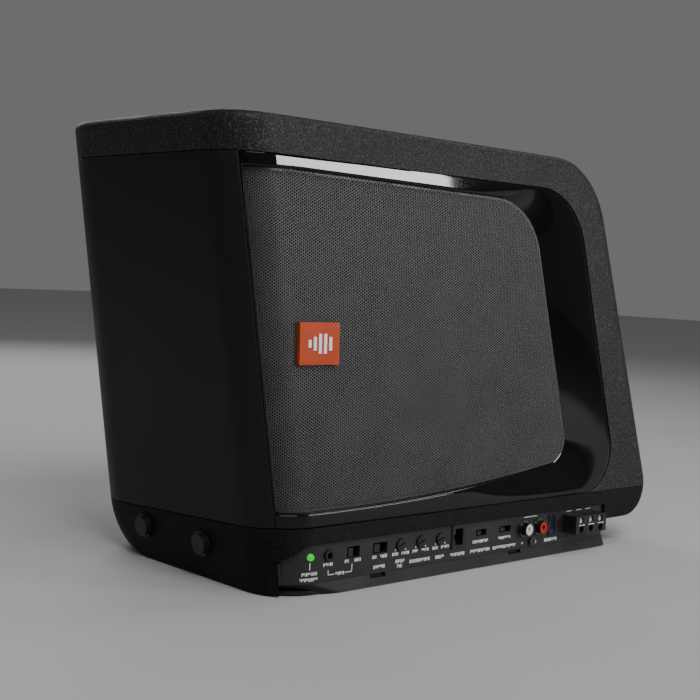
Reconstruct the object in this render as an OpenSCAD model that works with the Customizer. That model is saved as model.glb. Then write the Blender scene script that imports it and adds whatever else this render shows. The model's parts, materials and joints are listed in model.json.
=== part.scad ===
// Powered car subwoofer: a leaning cabinet with an eight-inch driver behind a perforated
// grille, and an amplifier with its control panel in the base.
// Frame: millimetres, +Z up, front towards -Y, origin on the floor below the middle of the box.

/* [Cabinet] */
// Height of the cabinet
cabinet_h = 250; // [246:1:256]
// Left face at the floor, from the middle
left_floor_x = -145.3; // [-148:0.1:-143]
// How far the left face leans outwards per unit of height
left_lean = 0.154; // [0.14:0.002:0.16]
// Right face carried down to the floor, from the middle
right_floor_x = 196.9; // [195:0.1:199]
// How far the right face leans inwards per unit of height
right_lean = 0.317; // [0.31:0.001:0.325]
// Front face at the floor
front_floor_y = -88.9; // [-89.5:0.1:-88]
// How far the front face leans back per unit of height
front_lean = 0.035; // [0.03:0.001:0.038]
// Back face
back_face_y = 96.9; // [95:0.1:100]
// Thickness of the moulded skins
skin_t = 3; // [2.5:0.1:3.4]

/* [Cabinet roundings] */
// Front left corner, seen from above
front_left_r = 28; // [26:1:29]
// Back left corner, seen from above
back_left_r = 42; // [40:1:46]
// Front right corner, seen from above
front_right_r = 13; // [11:1:15]
// Back right corner, seen from above
back_right_r = 30; // [24:1:34]
// Shoulder between the top and the right face
shoulder_r = 54; // [50:1:56]
// Heel between the right face and the raised underside
heel_r = 20; // [18:1:21]
// Height of the raised underside
heel_floor = 18; // [17:0.5:18.5]
// Rounding of the back face down to the floor
back_heel_r = 30; // [24:1:32]
// Rounding around the top face
top_edge_r = 4.5; // [4:0.5:6]

/* [Parting lines] */
// Top of the moulded base under the bezel
base_top_z = 36.6; // [36:0.1:37]
// How fast the top of the base falls towards the back, under the side panel
base_side_fall = 0.0535; // [0.04:0.0005:0.055]
// Top of the side panel
side_top_z = 229.6; // [229.5:0.1:230.5]
// Gap between neighbouring skins
seam = 0.25; // [0.2:0.05:0.4]

/* [Bezel and grille] */
// Top of the bezel
bezel_top_z = 229.5; // [229:0.1:229.6]
// Bottom of the bezel
bezel_bottom_z = 36.9; // [36.9:0.1:37.4]
// How far the grille lies behind the front face
grille_depth = 4.2; // [3.5:0.1:4.6]
// Thickness of the perforated sheet
grille_t = 1; // [0.8:0.1:1.2]
// Plane of the baffle's front, which the bezel's walls rest on
baffle_y = -72; // [-72.5:0.1:-71.5]

/* [Driver] */
// Middle of the driver, across
driver_x = -12; // [-14:0.5:-10]
// Middle of the driver, above the floor
driver_z = 134.5; // [134:0.5:136]
// Outer radius of the driver's flange
flange_r = 94; // [92:0.5:95]
// Depth of the seat that the flange is let into
flange_seat = 9; // [8.5:0.5:10]
// Free travel of the cone each way
cone_travel = 5; // [3:0.5:5]

/* [Control panel] */
// Face of the control panel
panel_y = -86.1; // [-86.3:0.1:-85.9]
// Thickness of the control panel
panel_t = 2.5; // [2:0.1:2.6]
// Right end of the control panel
panel_right_x = 131.3; // [130:0.1:132]
// Top of the control panel
panel_top_z = 27.2; // [26.5:0.1:27.3]
// Top of the ledge that the panel stands on
ledge_top_z = 6.6; // [6:0.1:7]
// Radius of the three level controls
pot_r = 3.3; // [3:0.1:3.4]
// Distance between the level controls
pot_pitch = 16.2; // [16:0.1:17]
// Radius of the phono connectors' barrels
phono_r = 4.15; // [4.1:0.05:4.2]
// Radius of the 3.5 mm jack's hole
jack_hole_r = 1.8; // [1.77:0.01:1.85]

/* [Hidden] */
$fn = 64;

body_bottom_z = 0.8;     // the rubber feet hold the base this far off the floor
foot_side_x = 133.4;     // right side of the part of the base that reaches the floor
k_left = sqrt(1 + left_lean * left_lean);
k_right = sqrt(1 + right_lean * right_lean);
deep = 400;              // longer than any part, for cutting prisms

// ---- The cabinet's outer form: a level outline whose four sides and corners vary with height.
// d is the distance in from the outer surface.
shoulder_z = cabinet_h - shoulder_r;
shoulder_x = right_floor_x - right_lean * shoulder_z - shoulder_r * k_right;
shoulder_start = shoulder_z + shoulder_r * right_lean / k_right;
heel_z = heel_floor + heel_r;
heel_x = right_floor_x - right_lean * heel_z - heel_r * k_right;
heel_end = heel_z + heel_r * right_lean / k_right;

function arc_reach(r, h) = sqrt(max(0, r * r - h * h));
function top_in(z, d) =
    let (r = max(top_edge_r - d, 1), start = cabinet_h - d - r)
    z > start ? r - arc_reach(r, min(z - start, r)) : 0;
function back_in(z) = z < back_heel_r ? back_heel_r - arc_reach(back_heel_r, back_heel_r - z) : 0;
function left_x(z, d = 0) = left_floor_x - left_lean * z + d * k_left + top_in(z, d);
function front_y(z, d = 0) = front_floor_y + front_lean * z + d + top_in(z, d);
function back_y(z, d = 0) = back_face_y - d - back_in(z) - top_in(z, d);
function right_x(z, d = 0) =
    z > shoulder_start ? shoulder_x + arc_reach(shoulder_r - d, min(z - shoulder_z, shoulder_r - d))
    : z < heel_end ? heel_x + arc_reach(heel_r - d, min(heel_z - z, heel_r - d))
    : right_floor_x - right_lean * z - d * k_right;

function corner(cx, cy, r, from, n, z) =
    [for (i = [0:n]) let (a = from + 90 * i / n) [cx + r * cos(a), cy + r * sin(a), z]];
// One level outline, anticlockwise from the left end of the front left corner
function outline_at(z, d, right) =
    let (t = top_in(z, d), l = left_x(z, d), f = front_y(z, d), b = back_y(z, d),
         fl = front_left_r - d - t, fr = max(front_right_r - d - t, 2),
         br = back_right_r - d - t, bl = back_left_r - d - t)
    concat(corner(l + fl, f + fl, fl, 180, 12, z), corner(right - fr, f + fr, fr, 270, 5, z),
           corner(right - br, b - br, br, 0, 6, z), corner(l + bl, b - bl, bl, 90, 8, z));

heel_levels = [for (a = [0:12:108]) heel_z - heel_r * cos(a)];
shoulder_levels = [for (a = [18:9:63]) shoulder_z + shoulder_r * sin(a)];
top_levels = [for (a = [0:22.5:90]) cabinet_h - top_edge_r * (1 - sin(a))];
all_levels = concat([body_bottom_z, 2, 4, 7, 11, 15], heel_levels, shoulder_levels, top_levels);
function levels(z0, z1) =
    concat([z0], [for (z = all_levels) if (z > z0 + 0.4 && z < z1 - 0.4) z], [z1]);

// A closed solid from a stack of outlines that all have the same number of points
module stack(rings) {
    n = len(rings[0]);
    top = (len(rings) - 1) * n;
    polyhedron(
        points = [for (ring = rings) each ring],
        faces = concat(
            [[for (i = [0:n - 1]) i]],
            [[for (i = [0:n - 1]) top + n - 1 - i]],
            [for (k = [0:len(rings) - 2]) for (i = [0:n - 1])
                [k * n + i, (k + 1) * n + i, (k + 1) * n + (i + 1) % n]],
            [for (k = [0:len(rings) - 2]) for (i = [0:n - 1])
                [k * n + i, (k + 1) * n + (i + 1) % n, k * n + (i + 1) % n]]));
}

module cabinet(d, z0, z1) { stack([for (z = levels(z0, z1)) outline_at(z, d, right_x(z, d))]); }
// The part of the base that reaches the floor, narrower than the cabinet above it
module foot(d, z0, z1) { stack([for (z = levels(z0, z1)) outline_at(z, d, foot_side_x - d)]); }

// Everything to the left of the front left crease and of the back left corner
module left_zone(z0, z1, gap = 0) {
    for (part = [0, 1]) hull() for (z = [z0, z1]) {
        cx = left_x(z) + front_left_r - gap;
        cy = front_y(z) + front_left_r + gap;
        bx = left_x(z) + back_left_r - gap;
        translate([0, 0, z]) linear_extrude(0.01) polygon(part == 0
            ? [[cx, cy], [cx - 90, cy - 90], [cx - 190, cy - 90], [cx - 190, cy]]
            : [[bx, cy - 1], [bx, 200], [cx - 190, 200], [cx - 190, cy - 1]]);
    }
}
// The flat of the back face, between its two corners
module back_zone(z0, z1, gap = 0) {
    hull() for (z = [z0, z1])
        translate([left_x(z) + back_left_r + gap, back_face_y - 40, z])
            cube([right_floor_x - right_lean * z - back_right_r - left_x(z) - back_left_r - 2 * gap,
                  80, 0.01]);
}
// Evaluates its children as one closed mesh
module one_mesh() { resize([0, 0, 0]) children(); }

// ---- The bezel's and the grille's outlines, on the front face.
// u runs along the surface: it equals x on the flat front and is arc length round the corner.
function corner_x(z) = left_floor_x - left_lean * z + front_left_r;
function crease_u(z) = corner_x(z) - front_left_r * PI / 4;
function front_point(u, z, d) =
    let (c = corner_x(z), y = front_floor_y + front_lean * z, a = (c - u) / front_left_r * 180 / PI)
    u >= c ? [u, y + d, z]
    : [c - (front_left_r - d) * sin(a), y + front_left_r - (front_left_r - d) * cos(a), z];

// A rounded right-hand end for a shape between heights bottom and top, whose right side is the
// line u = at - lean * h: a list of [u, h] from the top to the bottom
function right_end(at, lean, bottom, top, top_r, bottom_r, n) =
    let (k = sqrt(1 + lean * lean), tz = top - top_r, bz = bottom + bottom_r,
         tu = at - lean * tz - top_r * k, bu = at - lean * bz - bottom_r * k, split = atan(lean))
    concat([for (i = [0:n]) let (a = 90 - (90 - split) * i / n) [tu + top_r * cos(a), tz + top_r * sin(a)]],
           [for (i = [0:n]) let (a = split - (90 + split) * i / n)
               [bu + bottom_r * cos(a), bz + bottom_r * sin(a)]]);

grille_bottom_h = 45;
grille_top_h = 221;
grille_right_u = 106.05;
// Height on the cabinet of a grille point: its top edge falls a little to the right,
// and its bottom edge is a shallow curve that rises
function grille_low(u) = 44.7 + 0.00036 * pow(max(u + 111.6, 0), 2);
function grille_high(u) = 222.84 - 0.0146 * max(u + 140, 0) + 0.03 * min(u + 140, 0);
function grille_z(u, h) =
    let (f = (h - grille_bottom_h) / (grille_top_h - grille_bottom_h))
    grille_low(u) + f * (grille_high(u) - grille_low(u));
end_steps = 6;
grille_end = right_end(grille_right_u, 0.2359, grille_bottom_h, grille_top_h, 42, 14, end_steps);
bezel_end = right_end(154.45, 0.27, bezel_bottom_z, bezel_top_z, 45, 27, end_steps);

// Points along a level line from the crease round the corner, then along the flat, up to u = stop
corner_steps = 5;
flat_steps = 3;
function level_line(left_gap, z, stop) =
    let (l = crease_u(z) + left_gap, c = corner_x(z))
    concat([for (i = [0:corner_steps]) l + (c - l) * i / corner_steps],
           [for (i = [1:flat_steps]) c + (stop - c) * i / (flat_steps + 0.001)]);
// A closed outline of [u, h]: top edge to the right, the right end, then the bottom edge back
function front_outline(end, left_gap, top, bottom) =
    let (high = level_line(left_gap, top, end[0][0]),
         low = level_line(left_gap, bottom, end[len(end) - 1][0]), n = len(low) - 2)
    concat([for (i = [0:n]) [high[i], top]], end, [for (i = [n:-1:0]) [low[i], bottom]]);
bezel_outline = front_outline(bezel_end, 0.3, bezel_top_z, bezel_bottom_z);
grille_outline = [for (p = front_outline(grille_end, 1.4, grille_top_h, grille_bottom_h))
    [p[0], grille_z(p[0], p[1])]];
// An outline partly of the way from the bezel's outer edge to the grille's edge
function between_outlines(f) =
    [for (i = [0:len(bezel_outline) - 1]) bezel_outline[i] * (1 - f) + grille_outline[i] * f];
function on_front(outline, d) = [for (p = outline) front_point(p[0], p[1], d)];

// A closed band through loops of points, the last loop joined to the first
module band(loops) {
    n = len(loops[0]);
    m = len(loops);
    polyhedron(
        points = [for (l = loops) each l],
        faces = [for (k = [0:m - 1], i = [0:n - 1], half = [0, 1])
            let (a = k * n + i, b = k * n + (i + 1) % n,
                 c = ((k + 1) % m) * n + (i + 1) % n, e = ((k + 1) % m) * n + i)
            half == 0 ? [a, c, b] : [a, e, c]]);
}

// A prism of an outline in the front view, from y0 to y1
module front_prism(points, y0, y1) {
    translate([0, y1, 0]) rotate([90, 0, 0]) linear_extrude(y1 - y0) polygon(points);
}

// ---- Shells
module base_housing() color([0.09, 0.09, 0.09]) one_mesh() difference() {
    union() {
        difference() {
            cabinet(0, heel_floor, base_top_z);
            cabinet(skin_t, heel_floor - 1, base_top_z + 2);
        }
        difference() {
            cabinet(0, heel_floor, heel_floor + skin_t);
            foot(skin_t, heel_floor - 1, heel_floor + skin_t + 1);
        }
        difference() {
            foot(0, body_bottom_z, heel_floor + skin_t);
            foot(skin_t, body_bottom_z - 1, heel_floor + skin_t + 1);
        }
        for (y = thumb_screw_ys) at_side(y) translate([0, 0, -9.8])
            cylinder(r = 5.4, h = 9, $fn = 20);
    }
    // Under the side panel the top falls towards the back
    intersection() {
        left_zone(heel_floor, base_top_z + 5);
        above_side_seam(0);
    }
    panel_window();
    side_foot_slot();
    side_hole();
    for (y = thumb_screw_ys) at_side(y) translate([0, 0, -12]) cylinder(r = 3.1, h = 20, $fn = 20);
}

// Everything above the seam under the side panel, which falls from the crease to the back
module above_side_seam(gap) {
    translate([0, left_corner_y, base_top_z + gap]) rotate([-atan(base_side_fall), 0, 0])
        translate([-deep, -deep, 0]) cube([2 * deep, 2 * deep, deep]);
}
left_corner_y = -80;

// Opening in the base for the control panel, with its top left corner cut off
window_left_x = -140.1;
window_left_z = 19;
window_slope_x = -126.6;
window_top_z = 27.5;
window_left_gap = 1;        // how far the opening reaches past the crease
window_points = [[-300, -1], [foot_side_x - skin_t + 1, -1], [foot_side_x - skin_t + 1, window_top_z],
                 [window_slope_x, window_top_z], [window_left_x, window_left_z],
                 [-300, window_left_z]];
module panel_window() {
    difference() {
        front_prism(window_points, -120, -60);
        left_zone(-2, 60, window_left_gap);
    }
}

// Thumb screws on the left face, on the face's own slope
thumb_screw_ys = [-25.1, 30.9];
thumb_screw_z = 20;
module at_side(y, z = thumb_screw_z) {
    translate([left_floor_x - left_lean * z, y, z]) rotate([0, -90 - atan(left_lean), 0]) children();
}
// Shallow J-shaped slot for a strap, low on the left face
module side_foot_slot() {
    at_side(-15, 3.4) translate([0, 0, -1]) {
        translate([-0.8, -32, 0]) cube([1.6, 67, 3]);
        translate([-0.8, -32, 0]) cube([6, 1.6, 3]);
    }
}
module side_hole() { at_side(-63.5, 11) translate([0, 0, -1.2]) cylinder(r = 2.4, h = 5, $fn = 20); }

module chamber_floor() color([0.3, 0.24, 0.18]) one_mesh() difference() {
    cabinet(skin_t + 0.2, 29.5, 31.8);
    translate([lead_x, lead_y, 20]) cylinder(r = 5, h = 20, $fn = 24);
}

module wrap_shell() color([0.1, 0.1, 0.1]) one_mesh() difference() {
    cabinet(0, base_top_z + seam, cabinet_h);
    cabinet(skin_t, base_top_z - 1, cabinet_h - skin_t);
    front_prism(concat([[-300, bezel_top_z + seam]],
                       [for (p = bezel_end) [p[0] + seam, p[1] + (p[1] > 130 ? seam : -seam)]],
                       [[-300, bezel_bottom_z - seam]]), -120, -60);
    intersection() {
        left_zone(20, side_top_z + seam, -seam);
        translate([-deep, -deep, 0]) cube([2 * deep, 2 * deep, side_top_z + seam]);
    }
    back_zone(20, side_top_z + seam, -seam);
}

module side_panel() color([0.13, 0.13, 0.13]) one_mesh() intersection() {
    difference() {
        cabinet(0, heel_floor, side_top_z);
        cabinet(skin_t, heel_floor - 1, side_top_z + 1);
    }
    left_zone(heel_floor - 5, side_top_z + 5, 0);
    above_side_seam(seam);
}

// Flat cover on the back, with a rib frame inside
function rear_w(z) = [left_x(z) + back_left_r + seam, right_floor_x - right_lean * z - back_right_r];
module rear_outline(inset) {
    lo = base_top_z + seam + inset;
    hi = side_top_z - inset;
    polygon([[rear_w(lo)[0] + inset, lo], [rear_w(lo)[1] - inset, lo],
             [rear_w(hi)[1] - inset, hi], [rear_w(hi)[0] + inset, hi]]);
}
module rear_cover() color([0.1, 0.1, 0.1]) difference() {
    union() {
        translate([0, back_face_y, 0]) rotate([90, 0, 0]) linear_extrude(skin_t) rear_outline(0);
        translate([0, back_face_y - skin_t, 0]) rotate([90, 0, 0]) linear_extrude(2) difference() {
            rear_outline(14);
            rear_outline(18);
        }
    }
    for (p = rear_screw_places)
        translate([p[0], back_face_y, p[1]]) rotate([90, 0, 0]) {
            translate([0, 0, -1]) cylinder(r = 1.7, h = 10);
            translate([0, 0, -1]) cylinder(r = 3.4, h = 2.2);
        }
}
rear_screw_places = [for (z = [46, 132, 218], f = [0, 1])
    [rear_w(z)[f] + (f == 0 ? 9 : -9), z]];
module rear_screws() color([0.15, 0.15, 0.16]) for (p = rear_screw_places)
    translate([p[0], back_face_y, p[1]]) rotate([90, 0, 0]) difference() {
        union() {
            translate([0, 0, 0.1]) cylinder(r = 3.2, h = 1.1);
            translate([0, 0, 1.2]) cylinder(r = 1.5, h = 8);
        }
        cross_slot(2.2, 0.7, 0.8);
    }
// Cross recess at the origin, opening towards -Z
module cross_slot(reach, width, depth) {
    translate([0, 0, -1]) linear_extrude(depth + 1) {
        square([2 * reach, width], center = true);
        square([width, 2 * reach], center = true);
    }
}

// Gloss frame that curves in from the front face to the grille, with walls back to the baffle
bezel_wall = 2.6;
// An outline moved from one outline towards another by a wall's thickness, or less where they are close
function stepped(from, to, wall) =
    [for (i = [0:len(from) - 1]) let (w = norm(to[i] - from[i]))
        from[i] + (to[i] - from[i]) * min(wall, 0.3 * w) / w];
// Depth that a wall reaches: the baffle on the flat front, and less and less towards the crease
wall_reach = 3;
function wall_depth(u, z) =
    let (c = corner_x(z), l = crease_u(z), f = min(max((u - l) / (c - l), 0), 1),
         least = grille_depth + wall_reach)
    least + (baffle_y - front_y(z) - least) * f * f;
function carried_back(outline) =
    [for (p = outline) front_point(p[0], p[1], wall_depth(p[0], p[1]))];
function scoop(f) = 0.2 + (grille_depth - 0.2) * (1 - cos(90 * f));
module front_bezel() color([0.02, 0.02, 0.02]) {
    inner_wall = stepped(grille_outline, bezel_outline, bezel_wall);
    outer_wall = stepped(bezel_outline, grille_outline, bezel_wall);
    band(concat(
        [for (f = [0, 0.3, 0.55, 0.8]) on_front(between_outlines(f), scoop(f))],
        [on_front(grille_outline, grille_depth), carried_back(grille_outline),
         carried_back(inner_wall), on_front(inner_wall, grille_depth + 1.5),
         on_front(outer_wall, bezel_wall), carried_back(outer_wall),
         carried_back(bezel_outline)]));
}

module grille() color([0.24, 0.24, 0.25]) {
    sheet(grille_rows(), grille_front_d, grille_front_d + grille_t);
}
grille_front_d = grille_depth - 0.4;
// Points of the grille in rows: row k goes from the left edge to the right end at height h
function grille_rows() =
    let (end = grille_end)
    [for (p = end) let (h = min(max(p[1], grille_bottom_h + 0.2), grille_top_h - 0.2))
        [for (u = level_line(1.6, h, p[0] - 0.2)) [u, grille_z(u, h)]]];
// A thin curved sheet through rows of [u, z] points
module sheet(rows, d0, d1) {
    m = len(rows);
    n = len(rows[0]);
    s = m * n;
    edge = concat([for (i = [0:n - 1]) i], [for (k = [1:m - 1]) k * n + n - 1],
                  [for (i = [n - 2:-1:0]) (m - 1) * n + i], [for (k = [m - 2:-1:1]) k * n]);
    polyhedron(
        points = concat([for (r = rows, p = r) front_point(p[0], p[1], d0)],
                        [for (r = rows, p = r) front_point(p[0], p[1], d1)]),
        faces = concat(
            [for (k = [0:m - 2], i = [0:n - 2], half = [0, 1])
                let (a = k * n + i, b = a + 1, c = a + n, e = c + 1)
                half == 0 ? [a, b, e] : [a, e, c]],
            [for (k = [0:m - 2], i = [0:n - 2], half = [0, 1])
                let (a = s + k * n + i, b = a + 1, c = a + n, e = c + 1)
                half == 0 ? [a, e, b] : [a, c, e]],
            [for (j = [0:len(edge) - 1], half = [0, 1])
                let (a = edge[j], b = edge[(j + 1) % len(edge)])
                half == 0 ? [a, a + s, b + s] : [a, b + s, b]]));
}

// Board behind the bezel that carries the driver
baffle_t = 15;
baffle_low = 34.4;
baffle_high = 244;
baffle_left_gap = 48;       // clear of the grille where it turns round the corner
module front_baffle() color([0.45, 0.34, 0.22]) difference() {
    translate([0, baffle_y + baffle_t, 0]) rotate([90, 0, 0]) linear_extrude(baffle_t) polygon(concat(
        [[left_x(baffle_high) + baffle_left_gap, baffle_high]],
        right_end(right_floor_x - 5, right_lean, baffle_low, baffle_high, shoulder_r - 6, 12, 8),
        [[left_x(baffle_low) + baffle_left_gap, baffle_low]]));
    at_driver(0) {
        translate([0, 0, -flange_seat]) cylinder(r = flange_r + 0.4, h = flange_seat);
        translate([0, 0, -1]) cylinder(r = 85.5, h = 30);
    }
    for (a = woofer_screw_angles) at_driver(0) rotate(a) translate([woofer_screw_r, 0, -1])
        cylinder(r = 1.9, h = 12);
}

// ---- Badge: a raised block that follows the grille, with a generic mark of level bars
badge_u = -120.9;
badge_w = 27.6;
badge_z = 133.5;
badge_h = 22.3;
badge_proud = 2.4;
function patch(u, z, w, h, steps) =
    [for (v = [-0.5, 0.5]) [for (f = [-0.5:1 / steps:0.501]) [u + w * f, z - h * v]]];
module badge_plate() color([0.8, 0.2, 0.06]) {
    sheet(patch(badge_u, badge_z, badge_w, badge_h, 8), grille_front_d - badge_proud, grille_front_d - 0.12);
}
module badge_mark() color([0.55, 0.12, 0.04]) for (i = [-2:2])
    sheet(patch(badge_u + i * 3.6, badge_z, 2, 12 - 3.2 * abs(i - 0.5), 1),
          grille_front_d - badge_proud - 0.5, grille_front_d - badge_proud - 0.02);

// ---- Amplifier chassis and control panel
// The panel is flat and turns round its own corner at the left
panel_corner = [-119.6, panel_y + 25.7];
corner_turns = 12;
function panel_arc(r, from) = [for (i = [0:corner_turns])
    let (a = from + (270 - from) * i / corner_turns)
    [panel_corner[0] + r * cos(a), panel_corner[1] + r * sin(a)]];
module panel_path(outer, inner, from) {
    back = panel_arc(inner, from);
    polygon(concat(
        panel_arc(outer, from),
        [[panel_right_x, panel_corner[1] - outer], [panel_right_x, panel_corner[1] - inner]],
        [for (i = [corner_turns:-1:0]) back[i]]));
}
panel_r = panel_corner[1] - panel_y;
module at_panel(x, z) { translate([x, panel_y, z]) rotate([90, 0, 0]) children(); }
module at_panel_corner(angle, z) {
    translate([panel_corner[0], panel_corner[1], z]) rotate(angle) translate([panel_r, 0, 0])
        rotate([0, 90, 0]) children();
}

row_z = 20.6;               // height of the row of controls
link_x = -92.5;
phase_x = -72.3;
level_x = 11.7;
auto_on_x = 33.4;
crossover_x = -40.1;
remote_x = -8.6;
remote_z = 20.2;
phono_xs = [51.2, 65.2];
phono_z = 19.1;
ground_x = 59;
ground_z = 10.3;
fuse_x = 78.9;
fuse_z = 18.3;
terminal_x = 105.8;
terminal_z = 18.6;
led_angle = 261.8;
led_z = 20.9;
jack_x = -110.5;
link_window = [9.3, 6];
phase_window = [11.1, 6];
level_window = [9.2, 3.8];
auto_on_window = [10.6, 3.8];

module window(x, size) {
    at_panel(x, row_z) translate([-size[0] / 2, -size[1] / 2, -6]) cube([size[0], size[1], 10]);
}
module control_panel() color([0.17, 0.17, 0.17]) difference() {
    union() {
        translate([0, 0, ledge_top_z]) linear_extrude(panel_top_z - ledge_top_z)
            panel_path(panel_r, panel_r - panel_t, 200);
        // Lip at the left end, out to the surface of the base
        intersection() {
            translate([0, 0, ledge_top_z]) linear_extrude(window_left_z - 1 - ledge_top_z)
                panel_path(panel_r + 1.9, panel_r - 1, 200);
            left_zone(-2, 60, window_left_gap - 1.1);
        }
    }
    left_zone(-2, 60, window_left_gap - 0.25);
    // Corner cut that follows the window in the base
    front_prism([[-300, window_left_z - 0.4], [window_left_x, window_left_z - 0.4],
                 [window_slope_x + 0.3, window_top_z - 0.3], [window_slope_x, 40], [-300, 40]], -120, -50);
    at_panel_corner(led_angle, led_z) translate([0, 0, -6]) cylinder(r = 2.1, h = 10);
    at_panel(jack_x, row_z) translate([0, 0, -6]) cylinder(r = 3.2, h = 10);
    window(link_x, link_window);
    window(phase_x, phase_window);
    window(level_x, level_window);
    window(auto_on_x, auto_on_window);
    for (i = [-1:1]) at_panel(crossover_x + i * pot_pitch, row_z) translate([0, 0, -6])
        cylinder(r = pot_r + 0.3, h = 10);
    at_panel(remote_x, remote_z) translate([-5.1, -6.7, -6]) cube([10.2, 13.4, 10]);
    for (x = phono_xs) at_panel(x, phono_z) translate([0, 0, -6]) cylinder(r = 5.4, h = 10);
    at_panel(ground_x, ground_z) translate([0, 0, -6]) cylinder(r = 1.6, h = 10);
    at_panel(fuse_x, fuse_z) translate([-2.9, -6.3, -6]) cube([5.8, 12.6, 10]);
    at_panel(terminal_x, terminal_z) translate([-15.9, -5.8, -6]) cube([31.8, 11.6, 10]);
}

// The ledge's foot turns away earlier than the panel above it
foot_corner = [-101, -58.1];
ledge_back_x = -100;
ledge_bottom_z = 0.7;
function ledge_ring(z, c, r) = concat(
    [for (i = [0:corner_turns]) let (a = 200 + 70 * i / corner_turns)
        [c[0] + r * cos(a), c[1] + r * sin(a), z]],
    [[panel_right_x, c[1] - r, z], [panel_right_x, panel_y + panel_t, z],
     [ledge_back_x, panel_y + panel_t, z], [ledge_back_x, -64, z]]);
chassis_t = 2;
foot_places = [for (x = [-110, 110], y = [-53, 40]) [x, y]];
foot_peg_r = 1.4;
post_places = [for (x = [-84, 114], y = [-66, 38]) [x, y]];
post_peg_r = 1.4;
module amp_chassis() color([0.12, 0.12, 0.12]) difference() {
    union() {
        one_mesh() difference() {
            union() {
                // Ledge along the front, which runs out to nothing at its left end
                difference() {
                    stack([ledge_ring(ledge_bottom_z, foot_corner, 31),
                           ledge_ring(ledge_top_z, panel_corner, panel_r + 0.4)]);
                    left_zone(-2, 60, window_left_gap - 0.25);
                }
                // Bottom plate
                translate([0, 0, body_bottom_z]) linear_extrude(chassis_t) polygon([
                    for (p = outline_at(body_bottom_z, skin_t + 0.4, foot_side_x - skin_t - 0.4))
                        [p[0], p[1]]]);
            }
            for (x = [-74.1, 42.2]) translate([x - 5.9, -95, 4.6]) cube([11.8, 10, 2.2]);
        }
        // Posts with pegs that hold the circuit board
        for (p = post_places) translate([p[0], p[1], body_bottom_z + 0.5]) {
            cylinder(r = 3, h = board_z - body_bottom_z - 0.5);
            cylinder(r = post_peg_r, h = on_board + 1.2 - body_bottom_z - 0.5);
        }
    }
    for (p = foot_places) translate([p[0], p[1], 0]) cylinder(r = foot_peg_r + 0.2, h = 2);
}

module rubber_feet() color([0.05, 0.05, 0.05]) for (p = foot_places)
    translate([p[0], p[1], 0]) {
        cylinder(r = 9, h = body_bottom_z);
        cylinder(r = foot_peg_r, h = body_bottom_z + 0.9);
    }

module led_lens() color([0.2, 0.75, 0.25]) at_panel_corner(led_angle, led_z) {
    translate([0, 0, -6]) cylinder(r = 1.95, h = 6.4);
    translate([0, 0, 0.4]) sphere(r = 1.95);
}
module audio_jack() color([0.1, 0.1, 0.1]) at_panel(jack_x, row_z) difference() {
    union() {
        translate([0, 0, -2]) cylinder(r = 3.1, h = 3.2);
        translate([-4, -3.6, -14]) cube([8, 7.2, 11.2]);
        translate([0, 0, -3]) cylinder(r = 3.1, h = 1.2);
    }
    translate([0, 0, -12]) cylinder(r = jack_hole_r, h = 20);
}

// Slide switches: a body behind the panel with a channel, and a lever that slides in it
lever_share = 0.45;         // of the window's width that the lever fills
lever_gap = 0.35;
switch_d = 6;
switch_names = [[link_x, link_window], [phase_x, phase_window],
                [level_x, level_window], [auto_on_x, auto_on_window]];
module switch_bodies() color([0.1, 0.1, 0.1]) for (s = switch_names)
    at_panel(s[0], row_z) difference() {
        translate([-s[1][0] / 2 - 2, -s[1][1] / 2 - 1.2, -panel_t - switch_d])
            cube([s[1][0] + 4, s[1][1] + 2.4, switch_d]);
        translate([-s[1][0] / 2, -s[1][1] / 2, -panel_t - 2.6]) cube([s[1][0], s[1][1], 4]);
    }
module lever(x, size) {
    w = size[0] * lever_share;
    h = size[1] - 2 * lever_gap;
    at_panel(x, row_z) translate([lever_gap - size[0] / 2, -h / 2, 0]) {
        translate([0, 0, -panel_t - 2.2]) cube([w, h, 1.6]);
        translate([0.4, 0.4, -panel_t - 0.7]) cube([w - 0.8, h - 0.8, panel_t + 0.9]);
    }
}
module link_switch() color([0.06, 0.06, 0.06]) lever(link_x, link_window);
module phase_switch() color([0.06, 0.06, 0.06]) lever(phase_x, phase_window);
module level_switch() color([0.06, 0.06, 0.06]) lever(level_x, level_window);
module auto_on_switch() color([0.06, 0.06, 0.06]) lever(auto_on_x, auto_on_window);

// Level controls: a slotted face on a shaft that turns in the body behind
pot_shaft_r = 1.5;
module pot_knob(x) {
    at_panel(x, row_z) difference() {
        union() {
            translate([0, 0, -2]) cylinder(r = pot_r, h = 3);
            translate([0, 0, -8.5]) cylinder(r = pot_shaft_r, h = 6.6);
        }
        rotate(20) translate([-2.6, -0.45, 0]) cube([5.2, 0.9, 3]);
    }
}
module bass_eq_knob() color([0.07, 0.07, 0.07]) pot_knob(crossover_x - pot_pitch);
module crossover_knob() color([0.07, 0.07, 0.07]) pot_knob(crossover_x);
module gain_knob() color([0.07, 0.07, 0.07]) pot_knob(crossover_x + pot_pitch);
module pot_bodies() color([0.25, 0.3, 0.28]) for (i = [-1:1])
    at_panel(crossover_x + i * pot_pitch, row_z) difference() {
        translate([-5, -5, -10.5]) cube([10, 10, 8]);
        translate([0, 0, -9]) cylinder(r = pot_shaft_r + 0.05, h = 9);
        translate([0, 0, -3.2]) cylinder(r = pot_r + 0.3, h = 2);
    }

// Six-way modular socket, standing on its side
module remote_port() color([0.04, 0.04, 0.04]) at_panel(remote_x, remote_z) difference() {
    union() {
        translate([-5, -6.6, -16]) cube([10, 13.2, 16]);
        translate([-5.6, -7, 0]) cube([11.2, 14, 0.8]);
    }
    translate([-3.3, -4.9, -12]) cube([6.6, 9.8, 20]);
    translate([-4.4, -1.6, -12]) cube([2, 3.2, 20]);
}

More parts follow.
